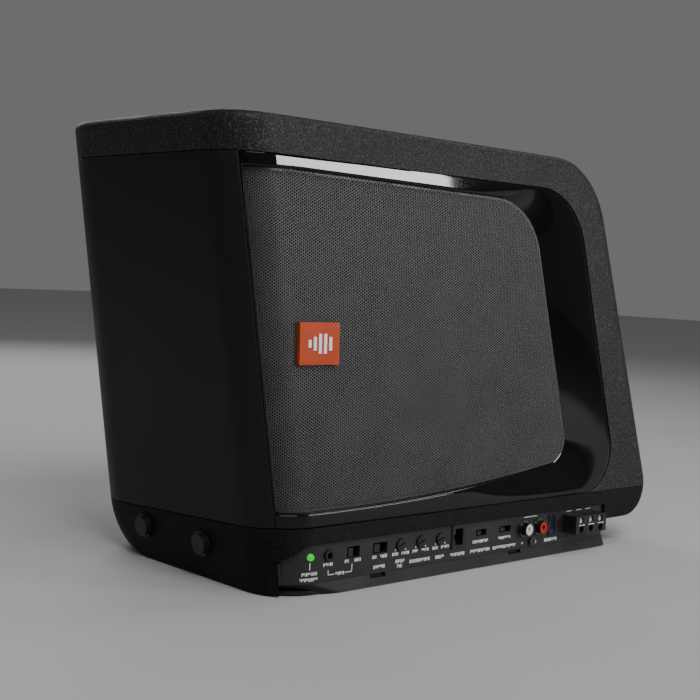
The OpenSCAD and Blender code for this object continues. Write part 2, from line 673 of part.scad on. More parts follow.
// Pair of phono connectors: a moulded block with two metal barrels, and a coloured ring on each
module phono_block() color([0.75, 0.75, 0.75]) {
    at_panel((phono_xs[0] + phono_xs[1]) / 2, phono_z) translate([-13, -6.5, -12])
        cube([26, 13, 9.4]);
    for (x = phono_xs) at_panel(x, phono_z) difference() {
        union() {
            translate([0, 0, -2.7]) cylinder(r = 5.2, h = 3.4);
            cylinder(r = phono_r, h = 5.2);
        }
        translate([0, 0, -2]) cylinder(r = 3.5, h = 8);
    }
}
module phono_ring(x) {
    at_panel(x, phono_z) difference() {
        translate([0, 0, -2]) cylinder(r = 3.5, h = 6.6);
        translate([0, 0, -1]) cylinder(r = 1.65, h = 8);
    }
}
module phono_ring_left() color([0.9, 0.9, 0.88]) phono_ring(phono_xs[0]);
module phono_ring_right() color([0.75, 0.08, 0.06]) phono_ring(phono_xs[1]);

module ground_post() color([0.6, 0.6, 0.6]) at_panel(ground_x, ground_z) difference() {
    union() {
        translate([0, 0, -8]) cylinder(r = 1.5, h = 8);
        cylinder(r = 2.5, h = 1.6);
    }
    translate([0, 0, 1]) linear_extrude(2) {
        square([3.6, 0.6], center = true);
        square([0.6, 3.6], center = true);
    }
}

// Blade fuse in its holder, on edge
fuse_size = [3.8, 10.9];
module fuse_holder() color([0.06, 0.06, 0.06]) at_panel(fuse_x, fuse_z) difference() {
    union() {
        translate([-2.8, -6.2, -18]) cube([5.6, 12.4, 18]);
        translate([-3.6, -7, 0]) cube([7.2, 14, 0.7]);
    }
    translate([-fuse_size[0] / 2 - 0.3, -fuse_size[1] / 2 - 0.3, -7])
        cube([fuse_size[0] + 0.6, fuse_size[1] + 0.6, 12]);
    for (s = [-1, 1]) translate([-0.7, s * 3.6 - 1.7, -16]) cube([1.4, 3.4, 12]);
}
module mini_fuse() color([0.1, 0.35, 0.75]) at_panel(fuse_x, fuse_z) {
    translate([-fuse_size[0] / 2, -fuse_size[1] / 2, -6.2]) cube([fuse_size[0], fuse_size[1], 6.6]);
    for (s = [-1, 1]) translate([-0.4, s * 3.6 - 1.35, -14]) cube([0.8, 2.7, 8]);
}

// Screw terminals: wire entries below, screws above in recesses
terminal_reach = 10.7;
terminal_pitch = 9.9;
terminal_screw_dz = 2.8;
terminal_recess_r = 2.4;
terminal_entry_dz = -2.8;
entry_r = 2.3;
terminal_half = 15.7;
cell_gap = 0.05;
module terminal_block() color([0.07, 0.08, 0.1]) for (i = [-1:1])
    at_panel(terminal_x + i * terminal_pitch, terminal_z) {
        // Outer ends of the first and the last cell, from the middle of the cell
        side = terminal_pitch / 2 - cell_gap / 2;
        end = terminal_half - terminal_pitch;
        from = i < 0 ? end : side;
        to = i > 0 ? end : side;
        difference() {
            union() {
                translate([-from, -5.7, -8]) cube([from + to, 11.4, terminal_reach + 8]);
                translate([-from - (i < 0 ? 0.6 : 0), -6.3, 0])
                    cube([from + to + (i == 0 ? 0 : 0.6), 12.4, 0.6]);
            }
            translate([0, terminal_screw_dz, 6.9]) cylinder(r = terminal_recess_r, h = 20);
            translate([0, terminal_screw_dz, 2]) cylinder(r = 1.55, h = 10);
            translate([0, terminal_entry_dz, -1]) cylinder(r = entry_r, h = 30);
        }
    }
module terminal_screw(i) {
    at_panel(terminal_x + i * terminal_pitch, terminal_z + terminal_screw_dz) difference() {
        union() {
            translate([0, 0, 7.5]) cylinder(r = terminal_recess_r - 0.3, h = 1.9);
            translate([0, 0, 2.4]) cylinder(r = 1.5, h = 5.3);
        }
        rotate(35) translate([-3, -0.35, 8.6]) cube([6, 0.7, 2]);
    }
}
module terminal_screw_ground() color([0.7, 0.7, 0.7]) terminal_screw(-1);
module terminal_screw_remote() color([0.7, 0.7, 0.7]) terminal_screw(0);
module terminal_screw_power() color([0.7, 0.7, 0.7]) terminal_screw(1);

// ---- Amplifier inside the base
board_z = 6.8;
board_t = 1.6;
on_board = board_z + board_t;
module circuit_board() color([0.05, 0.3, 0.12]) difference() {
    translate([-104, -80, board_z]) cube([226, 128, board_t]);
    translate([-114, -90, board_z - 1]) cube([24, 28, board_t + 2]);
    for (p = post_places) translate([p[0], p[1], board_z - 1]) cylinder(r = post_peg_r + 0.2, h = 4);
}
module capacitors() color([0.1, 0.12, 0.3]) {
    for (i = [0:3]) translate([-70 + 16 * i, -24, on_board]) cylinder(r = 6.3, h = 18);
    for (i = [0:2]) translate([12 + 12 * i, -30, on_board]) cylinder(r = 4, h = 12);
}
module toroid_coils() color([0.7, 0.4, 0.12]) for (x = [79, 109])
    translate([x, -44, on_board + 6]) rotate_extrude() translate([9, 0]) circle(r = 5.9);
module heat_sink() color([0.7, 0.7, 0.72]) {
    translate([-80, 14, on_board]) cube([170, 3, 19]);
    for (i = [0:11]) translate([-78 + 15 * i, 17, on_board]) cube([2, 22, 19]);
}
leg_h = 2;
module power_transistors() color([0.08, 0.08, 0.08]) for (i = [0:4])
    translate([-60 + 30 * i, 9.4, on_board]) {
        translate([0, 0, leg_h]) cube([10, 4.6, 15]);
        for (j = [0:2]) translate([2 + 2.6 * j, 1.8, 0]) cube([0.8, 0.8, leg_h]);
    }

// ---- Driver. w runs back from the seat of the flange
driver_y = baffle_y + flange_seat;
module at_driver(w) { translate([driver_x, driver_y + w, driver_z]) rotate([-90, 0, 0]) children(); }
woofer_screw_angles = [for (i = [0:5]) 15 + 60 * i];
woofer_screw_r = 90;
module woofer_basket() color([0.08, 0.08, 0.08]) at_driver(0) difference() {
    rotate_extrude() polygon([
        [flange_r, -2.5], [flange_r, 0], [84.6, 0], [62, 34], [52, 36], [50.5, 60], [50.5, 63],
        [56, 63], [56, 65], [30, 65], [30, 62.5], [48, 60], [49.5, 35], [50, 33], [60, 33],
        [82, 0], [82, -2.5]]);
    for (i = [0:5]) rotate(45 + 60 * i) translate([53, -14, 38]) cube([40, 28, 20]);
    for (i = [0:5]) rotate(45 + 60 * i) translate([40, -14, 38]) cube([14, 28, 20]);
    for (i = [0:5]) rotate(45 + 60 * i) translate([56, -18, 8]) cube([40, 36, 21]);
    for (a = woofer_screw_angles) rotate(a) translate([woofer_screw_r, 0, -5])
        cylinder(r = 2.1, h = 8);
}
module woofer_gasket() color([0.07, 0.07, 0.07]) at_driver(-4.5) difference() {
    cylinder(r = flange_r, h = 2);
    translate([0, 0, -1]) cylinder(r = 83.4, h = 4);
    for (a = woofer_screw_angles) rotate(a) translate([woofer_screw_r, 0, -1])
        cylinder(r = 2.1, h = 8);
}
surround_mid = 74.6;
module woofer_surround() color([0.05, 0.05, 0.05]) at_driver(-2.6) rotate_extrude() difference() {
    union() {
        translate([surround_mid, 0]) circle(r = 7);
        translate([surround_mid + 6, -1]) square([2.6, 1]);
        translate([surround_mid - 9.4, -1]) square([3, 1]);
    }
    translate([surround_mid, 0]) circle(r = 6);
    translate([surround_mid - 20, 0]) square([40, 20]);
}
module woofer_cone() color([0.12, 0.12, 0.13]) at_driver(0) rotate_extrude() polygon([
    [68.4, -2.5], [67.6, -1.2], [64, -1.2], [20.8, 24.4], [20.8, 22.8], [63.6, -2.5]]);
module dust_cap() color([0.1, 0.1, 0.1]) at_driver(0) rotate_extrude() polygon(concat(
    [for (a = [0:6:36]) [52 * sin(a), 51.2 - 52 * cos(a)]],
    [for (a = [36:-6:0]) [51 * sin(a), 51.2 - 51 * cos(a)]]));
module voice_coil() color([0.75, 0.45, 0.2]) at_driver(0) rotate_extrude() polygon([
    [19.3, 22], [20, 22], [20, 60], [20.6, 60], [20.6, 76], [19.3, 76]]);
module spider() color([0.75, 0.6, 0.3]) at_driver(0) rotate_extrude() polygon(concat(
    [for (r = [20.4:2:56.4]) [r, 31.6 + (r > 24 && r < 52 ? 1.1 * sin(180 * (r - 20.4) / 4) : 0)]],
    [for (r = [56.4:-2:20.4]) [r, 32.4 + (r > 24 && r < 52 ? 1.1 * sin(180 * (r - 20.4) / 4) : 0)]]));
module top_plate() color([0.6, 0.6, 0.62]) at_driver(65) difference() {
    cylinder(r = 54, h = 6);
    translate([0, 0, -1]) cylinder(r = 21.4, h = 10);
}
module ring_magnet() color([0.15, 0.15, 0.16]) at_driver(71) difference() {
    cylinder(r = 58, h = 20);
    translate([0, 0, -1]) cylinder(r = 27, h = 30);
}
module pole_yoke() color([0.6, 0.6, 0.62]) at_driver(0) rotate_extrude() polygon([
    [5, 62], [18.6, 62], [18.6, 91], [54, 91], [54, 97], [5, 97]]);
module woofer_screws() color([0.2, 0.2, 0.2]) for (a = woofer_screw_angles)
    at_driver(0) rotate(a) translate([woofer_screw_r, 0, -4.5]) difference() {
        union() {
            translate([0, 0, -1.6]) cylinder(r = 3.1, h = 1.6);
            cylinder(r = 1.8, h = 10);
        }
        translate([0, 0, -1.6]) cross_slot(1.9, 0.6, 0.9);
    }

// Two leads from the board up to the driver
lead_x = 62;
lead_y = -31;
lead_r = 1.1;
lead_bend = 8;
lead_spread = 1.6;
lead_end_x = driver_x + 64.1;
// Points of a lead as [x, z, direction of travel]: up, round a bend, then to the driver's frame
function lead_route(offset) =
    let (r = lead_bend + offset)
    concat([[lead_x + offset, on_board, 90]],
           [for (a = [0:22.5:90]) [lead_x - lead_bend + r * cos(a),
                                   driver_z - lead_bend + r * sin(a), 90 + a]],
           [[lead_end_x, driver_z + offset, 180]]);
module speaker_leads() color([0.6, 0.1, 0.08]) for (s = [-1, 1])
    stack([for (p = lead_route(lead_spread * s)) [for (f = [0:45:315])
        [p[0] + lead_r * cos(f) * sin(p[2]), lead_y + lead_r * sin(f),
         p[1] - lead_r * cos(f) * cos(p[2])]]]);

module damping_pad() color([0.75, 0.75, 0.72]) translate([-110, 60, 40]) cube([190, 26, 180]);

// ---- Thumb screws of the mounting bracket, in brass inserts
module thumb_screw(y) {
    at_side(y) {
        translate([0, 0, 0.35]) cylinder(r = 7, h = 1.5);
        translate([0, 0, 1.85]) cylinder(r = 5.8, h = 1.9);
        translate([0, 0, -9]) cylinder(r = 2, h = 9.4);
    }
}
module thumb_screw_front() color([0.1, 0.1, 0.1]) thumb_screw(thumb_screw_ys[0]);
module thumb_screw_rear() color([0.1, 0.1, 0.1]) thumb_screw(thumb_screw_ys[1]);
module threaded_inserts() color([0.75, 0.6, 0.25]) for (y = thumb_screw_ys)
    at_side(y) translate([0, 0, -10]) difference() {
        cylinder(r = 3, h = 9.8);
        translate([0, 0, -1]) cylinder(r = 2.05, h = 20);
    }

base_housing();
amp_chassis();
rubber_feet();
chamber_floor();
wrap_shell();
side_panel();
rear_cover();
rear_screws();
front_bezel();
front_baffle();
grille();
badge_plate();
badge_mark();
control_panel();
led_lens();
audio_jack();
switch_bodies();
link_switch();
phase_switch();
level_switch();
auto_on_switch();
pot_bodies();
bass_eq_knob();
crossover_knob();
gain_knob();
remote_port();
phono_block();
phono_ring_left();
phono_ring_right();
ground_post();
fuse_holder();
mini_fuse();
terminal_block();
terminal_screw_ground();
terminal_screw_remote();
terminal_screw_power();
circuit_board();
capacitors();
toroid_coils();
heat_sink();
power_transistors();
woofer_basket();
woofer_gasket();
woofer_surround();
woofer_cone();
dust_cap();
voice_coil();
spider();
top_plate();
ring_magnet();
pole_yoke();
woofer_screws();
speaker_leads();
damping_pad();
thumb_screw_front();
thumb_screw_rear();
threaded_inserts();
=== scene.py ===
"""Powered car subwoofer: the looks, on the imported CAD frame. Shapes are in millimetres until
they become meshes."""

import json
import math
import random

import bmesh
import bpy
import numpy as np
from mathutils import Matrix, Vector


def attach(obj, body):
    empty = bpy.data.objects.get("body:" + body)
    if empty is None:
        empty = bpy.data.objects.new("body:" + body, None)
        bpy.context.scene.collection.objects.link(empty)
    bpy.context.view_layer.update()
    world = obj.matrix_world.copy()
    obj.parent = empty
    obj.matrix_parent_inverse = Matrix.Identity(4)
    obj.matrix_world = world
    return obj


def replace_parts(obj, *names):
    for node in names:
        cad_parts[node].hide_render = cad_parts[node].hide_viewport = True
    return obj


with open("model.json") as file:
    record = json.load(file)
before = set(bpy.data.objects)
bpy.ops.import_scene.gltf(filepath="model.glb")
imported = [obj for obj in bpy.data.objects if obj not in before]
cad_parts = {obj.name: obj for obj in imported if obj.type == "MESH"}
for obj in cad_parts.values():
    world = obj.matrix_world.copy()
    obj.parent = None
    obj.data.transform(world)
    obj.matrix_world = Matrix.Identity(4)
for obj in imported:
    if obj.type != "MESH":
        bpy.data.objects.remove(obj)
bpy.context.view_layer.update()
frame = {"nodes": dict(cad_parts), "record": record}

MM = 0.001
CABINET = "cabinet"

# ---- The cabinet's form, as in the CAD: level outlines whose sides and corners vary with height
HEIGHT = 250
LEFT_FLOOR_X, LEFT_LEAN = -145.3, 0.154
RIGHT_FLOOR_X, RIGHT_LEAN = 196.9, 0.317
FRONT_FLOOR_Y, FRONT_LEAN = -88.9, 0.035
BACK_FACE_Y = 96.9
SKIN = 3
SEAM = 0.25
FRONT_LEFT_R, BACK_LEFT_R, FRONT_RIGHT_R, BACK_RIGHT_R = 28, 42, 13, 30
SHOULDER_R, HEEL_R, HEEL_FLOOR, BACK_HEEL_R, TOP_EDGE_R = 54, 20, 18, 30, 4.5
BASE_TOP_Z, SIDE_TOP_Z = 36.6, 229.6
BODY_BOTTOM_Z, FOOT_SIDE_X = 0.8, 133.4
K_LEFT = math.hypot(1, LEFT_LEAN)
K_RIGHT = math.hypot(1, RIGHT_LEAN)
SHOULDER_Z = HEIGHT - SHOULDER_R
SHOULDER_X = RIGHT_FLOOR_X - RIGHT_LEAN * SHOULDER_Z - SHOULDER_R * K_RIGHT
SHOULDER_START = SHOULDER_Z + SHOULDER_R * RIGHT_LEAN / K_RIGHT
HEEL_Z = HEEL_FLOOR + HEEL_R
HEEL_X = RIGHT_FLOOR_X - RIGHT_LEAN * HEEL_Z - HEEL_R * K_RIGHT
HEEL_END = HEEL_Z + HEEL_R * RIGHT_LEAN / K_RIGHT


def arc_reach(r, h):
    return math.sqrt(max(0, r * r - h * h))


def top_in(z, d=0):
    r = max(TOP_EDGE_R - d, 1)
    start = HEIGHT - d - r
    return r - arc_reach(r, min(z - start, r)) if z > start else 0


def left_x(z, d=0):
    return LEFT_FLOOR_X - LEFT_LEAN * z + d * K_LEFT + top_in(z, d)


def front_y(z, d=0):
    return FRONT_FLOOR_Y + FRONT_LEAN * z + d + top_in(z, d)


def back_y(z, d=0):
    tucked = BACK_HEEL_R - arc_reach(BACK_HEEL_R, BACK_HEEL_R - z) if z < BACK_HEEL_R else 0
    return BACK_FACE_Y - d - tucked - top_in(z, d)


def right_x(z, d=0):
    if z > SHOULDER_START:
        return SHOULDER_X + arc_reach(SHOULDER_R - d, min(z - SHOULDER_Z, SHOULDER_R - d))
    if z < HEEL_END:
        return HEEL_X + arc_reach(HEEL_R - d, min(HEEL_Z - z, HEEL_R - d))
    return RIGHT_FLOOR_X - RIGHT_LEAN * z - d * K_RIGHT


def outline_point(s, z, d=0, right=None):
    """A point of the level outline. s counts its stretches: 0 to 1 is the front left corner,
    1 to 2 the front, then the front right corner, right side, back right corner, back,
    back left corner and left side, which ends at 8."""
    s = s % 8
    t = top_in(z, d)
    l, f, b = left_x(z, d), front_y(z, d), back_y(z, d)
    r = right_x(z, d) if right is None else right
    fl, fr = FRONT_LEFT_R - d - t, max(FRONT_RIGHT_R - d - t, 2)
    br, bl = BACK_RIGHT_R - d - t, BACK_LEFT_R - d - t
    corners = ((l + fl, f + fl, fl, 180), (r - fr, f + fr, fr, 270),
               (r - br, b - br, br, 0), (l + bl, b - bl, bl, 90))
    k, share = int(s) // 2, s % 1
    if int(s) % 2 == 0:
        cx, cy, radius, start = corners[k]
        a = math.radians(start + 90 * share)
        return (cx + radius * math.cos(a), cy + radius * math.sin(a), z)
    ends = (((l + fl, f), (r - fr, f)), ((r, f + fr), (r, b - br)),
            ((r - br, b), (l + bl, b)), ((l, b - bl), (l, f + fl)))[k]
    (x0, y0), (x1, y1) = ends
    return (x0 + (x1 - x0) * share, y0 + (y1 - y0) * share, z)


def front_share(x, z):
    """The s of a point at x on the flat front."""
    x0, x1 = left_x(z) + FRONT_LEFT_R - top_in(z), outline_point(2, z)[0]
    return 1 + (x - x0) / (x1 - x0)


# ---- The front's own coordinates: u equals x on the flat and is arc length round the corner
def corner_x(z):
    return LEFT_FLOOR_X - LEFT_LEAN * z + FRONT_LEFT_R


def crease_u(z):
    return corner_x(z) - FRONT_LEFT_R * math.pi / 4


def front_point(u, z, d=0):
    c, y = corner_x(z), FRONT_FLOOR_Y + FRONT_LEAN * z
    if u >= c:
        return (u, y + d, z)
    a = (c - u) / FRONT_LEFT_R
    r = FRONT_LEFT_R - d
    return (c - r * math.sin(a), y + FRONT_LEFT_R - r * math.cos(a), z)


def right_end(at, lean, bottom, top, top_r, bottom_r, turns, straight):
    """Rounded right-hand end, from the top down, of a shape whose right side is
    u = at - lean * h."""
    k = math.hypot(1, lean)
    tz, bz = top - top_r, bottom + bottom_r
    tu, bu = at - lean * tz - top_r * k, at - lean * bz - bottom_r * k
    split = math.degrees(math.atan(lean))

    def arc(cu, cz, r, a0, a1):
        steps = [math.radians(a0 + (a1 - a0) * i / turns) for i in range(turns + 1)]
        return [(cu + r * math.cos(a), cz + r * math.sin(a)) for a in steps]

    high, low = arc(tu, tz, top_r, 90, split), arc(bu, bz, bottom_r, split, -90)
    (u0, h0), (u1, h1) = high[-1], low[0]
    middle = [(u0 + (u1 - u0) * i / straight, h0 + (h1 - h0) * i / straight)
              for i in range(1, straight)]
    return high + middle + low


BEZEL_TOP_Z, BEZEL_BOTTOM_Z = 229.5, 36.9
BEZEL_RIGHT_U, BEZEL_LEAN, BEZEL_TOP_R, BEZEL_BOTTOM_R = 154.45, 0.27, 45, 27
GRILLE_TOP_H, GRILLE_BOTTOM_H = 221, 45
GRILLE_RIGHT_U, GRILLE_LEAN, GRILLE_TOP_R, GRILLE_BOTTOM_R = 106.05, 0.2359, 42, 14
GRILLE_DEPTH = 4.2
GRILLE_FRONT_D = 3.8
BAFFLE_Y = -72


def grille_z(u, h):
    """The grille's top edge falls a little to the right, and its bottom edge curves up."""
    f = (h - GRILLE_BOTTOM_H) / (GRILLE_TOP_H - GRILLE_BOTTOM_H)
    low = 44.7 + 0.00036 * max(u + 111.6, 0) ** 2
    high = 222.84 - 0.0146 * max(u + 140, 0) + 0.03 * min(u + 140, 0)
    return low + f * (high - low)


# ---- Mesh helpers
def link(name, mesh):
    obj = bpy.data.objects.new(name, mesh)
    bpy.context.collection.objects.link(obj)
    return obj


def mesh_object(name, points, faces, body=CABINET):
    """An object from points in millimetres."""
    mesh = bpy.data.meshes.new(name)
    mesh.from_pydata([[c * MM for c in p] for p in points], [], faces)
    mesh.update()
    obj = link(name, mesh)
    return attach(obj, body)


def smooth(obj, angle=35):
    obj.data.polygons.foreach_set("use_smooth", [True] * len(obj.data.polygons))
    obj.data.set_sharp_from_angle(angle=math.radians(angle))


def apply_modifiers(obj):
    graph = bpy.context.evaluated_depsgraph_get()
    mesh = bpy.data.meshes.new_from_object(obj.evaluated_get(graph))
    obj.modifiers.clear()
    old = obj.data
    obj.data = mesh
    bpy.data.meshes.remove(old)


def bevel(obj, width, segments=3, angle=40):
    mod = obj.modifiers.new("edge", "BEVEL")
    mod.width = width * MM
    mod.segments = segments
    mod.limit_method = "ANGLE"
    mod.angle_limit = math.radians(angle)
    mod.use_clamp_overlap = True


def merge(obj, distance=0.01):
    bm = bmesh.new()
    bm.from_mesh(obj.data)
    bmesh.ops.remove_doubles(bm, verts=bm.verts, dist=distance * MM)
    bmesh.ops.dissolve_degenerate(bm, edges=bm.edges, dist=distance * MM / 10)
    bmesh.ops.recalc_face_normals(bm, faces=bm.faces)
    bm.to_mesh(obj.data)
    bm.free()


def spread(a, b, n):
    """n + 1 values from a to b."""
    return [a + (b - a) * i / n for i in range(n + 1)]


class Patches:
    """Collects patches of points in rows, as one mesh whose shared borders are merged."""

    def __init__(self):
        self.points, self.faces = [], []

    def add(self, rows):
        start, n = len(self.points), len(rows[0])
        for row in rows:
            self.points += row
        for k in range(len(rows) - 1):
            for i in range(n - 1):
                a = start + k * n + i
                self.faces.append((a, a + 1, a + n + 1, a + n))

    def ring_cap(self, ring):
        start = len(self.points)
        self.points += ring
        self.faces.append(tuple(range(start, start + len(ring))))

    def shell(self, name, thickness, edge, body=CABINET):
        """A closed shell with rounded edges, its outer face on the patches."""
        obj = mesh_object(name, self.points, self.faces, body)
        merge(obj)
        solid = obj.modifiers.new("skin", "SOLIDIFY")
        solid.thickness = thickness * MM
        solid.offset = -1
        solid.use_even_offset = True
        apply_modifiers(obj)
        if edge:
            bevel(obj, edge)
            apply_modifiers(obj)
        smooth(obj)
        return obj


def lofted(name, rings, closed_loop=False, body=CABINET):
    """A closed solid through rings of points. With closed_loop the last ring joins the first."""
    n, m = len(rings[0]), len(rings)
    points = [p for ring in rings for p in ring]
    faces = []
    for k in range(m if closed_loop else m - 1):
        for i in range(n):
            j, up = (i + 1) % n, (k + 1) % m
            faces.append((k * n + i, k * n + j, up * n + j, up * n + i))
    if not closed_loop:
        faces += [tuple(range(n))[::-1], tuple(range((m - 1) * n, m * n))]
    obj = mesh_object(name, points, faces, body)
    merge(obj, 0.001)
    return obj


def cut(obj, tool, operation="DIFFERENCE"):
    mod = obj.modifiers.new("cut", "BOOLEAN")
    mod.operation = operation
    mod.solver = "EXACT"
    mod.object = tool
    apply_modifiers(obj)
    bpy.data.objects.remove(tool)


# ---- Materials
COAT_ROUGHNESS = 0.03
GLOW_STRENGTH = 0.7
# The part of a noise texture's values that a ramp stretches over its whole range
NOISE_LOW, NOISE_HIGH = 0.3, 0.7
# Size and spread of lighter spots painted on the grain: painted sparkle, standing in for glints of
# light on the pebbles
GLINT_SIZE, GLINT_LOW, GLINT_HIGH = 1.6, 0.5, 0.68
BUMP_STRENGTH = 0.8


def material(name, colour, roughness, metallic=0.0, coat=0.0, tone=0.25, tone_size=25.0,
             grain=0.0, grain_size=0.6, rough_vary=0.06, specular=0.4, pebbled=False, painted_glint=0.0,
             glow=None):
    """A procedural finish. Sizes are in millimetres. tone is how far the colour drifts, grain
    the height of the fine relief, painted_glint how much lighter its painted sparkle spots are,
    and glow the colour of a lens lit from behind."""
    mat = bpy.data.materials.new(name)
    mat.use_nodes = True
    tree = mat.node_tree
    shader = tree.nodes["Principled BSDF"]
    shader.inputs["Metallic"].default_value = metallic
    shader.inputs["Coat Weight"].default_value = coat
    shader.inputs["Coat Roughness"].default_value = COAT_ROUGHNESS
    shader.inputs["Specular IOR Level"].default_value = specular
    if glow:
        shader.inputs["Emission Color"].default_value = (*glow, 1)
        shader.inputs["Emission Strength"].default_value = GLOW_STRENGTH
    place = tree.nodes.new("ShaderNodeTexCoord")

    def noise(size, detail):
        node = tree.nodes.new("ShaderNodeTexNoise")
        node.inputs["Scale"].default_value = 1 / (size * MM)
        node.inputs["Detail"].default_value = detail
        tree.links.new(place.outputs["Object"], node.inputs["Vector"])
        return node

    wide = noise(tone_size, 4)
    ramp = tree.nodes.new("ShaderNodeValToRGB")
    ramp.color_ramp.elements[0].position = NOISE_LOW
    ramp.color_ramp.elements[1].position = NOISE_HIGH
    ramp.color_ramp.elements[0].color = (*[c * (1 - tone) for c in colour], 1)
    ramp.color_ramp.elements[1].color = (*[min(c * (1 + tone), 1) for c in colour], 1)
    tree.links.new(wide.outputs["Fac"], ramp.inputs["Fac"])
    tinted = ramp.outputs["Color"]
    # Painted sparkle: lighter spots mixed into the colour where light would glint off the grain
    if painted_glint:
        spots = noise(grain_size * GLINT_SIZE, 2)
        share = tree.nodes.new("ShaderNodeMapRange")
        share.inputs["From Min"].default_value = GLINT_LOW
        share.inputs["From Max"].default_value = GLINT_HIGH
        tree.links.new(spots.outputs["Fac"], share.inputs["Value"])
        mix = tree.nodes.new("ShaderNodeMix")
        mix.data_type = "RGBA"
        mix.inputs["B"].default_value = (*[min(c * (1 + painted_glint), 1) for c in colour], 1)
        tree.links.new(share.outputs["Result"], mix.inputs["Factor"])
        tree.links.new(tinted, mix.inputs["A"])
        tinted = mix.outputs["Result"]
    tree.links.new(tinted, shader.inputs["Base Color"])
    span = tree.nodes.new("ShaderNodeMapRange")
    span.inputs["From Min"].default_value = NOISE_LOW
    span.inputs["From Max"].default_value = NOISE_HIGH
    span.inputs["To Min"].default_value = max(roughness - rough_vary, 0.02)
    span.inputs["To Max"].default_value = min(roughness + rough_vary, 1)
    tree.links.new(wide.outputs["Fac"], span.inputs["Value"])
    tree.links.new(span.outputs["Result"], shader.inputs["Roughness"])
    if grain:
        if pebbled:
            fine = tree.nodes.new("ShaderNodeTexVoronoi")
            fine.inputs["Scale"].default_value = 1 / (grain_size * MM)
            tree.links.new(place.outputs["Object"], fine.inputs["Vector"])
            height = fine.outputs["Distance"]
        else:
            height = noise(grain_size, 3).outputs["Fac"]
        bump = tree.nodes.new("ShaderNodeBump")
        bump.inputs["Strength"].default_value = BUMP_STRENGTH
        bump.inputs["Distance"].default_value = grain * MM
        bump.invert = pebbled
        tree.links.new(height, bump.inputs["Height"])
        tree.links.new(bump.outputs["Normal"], shader.inputs["Normal"])
    return mat


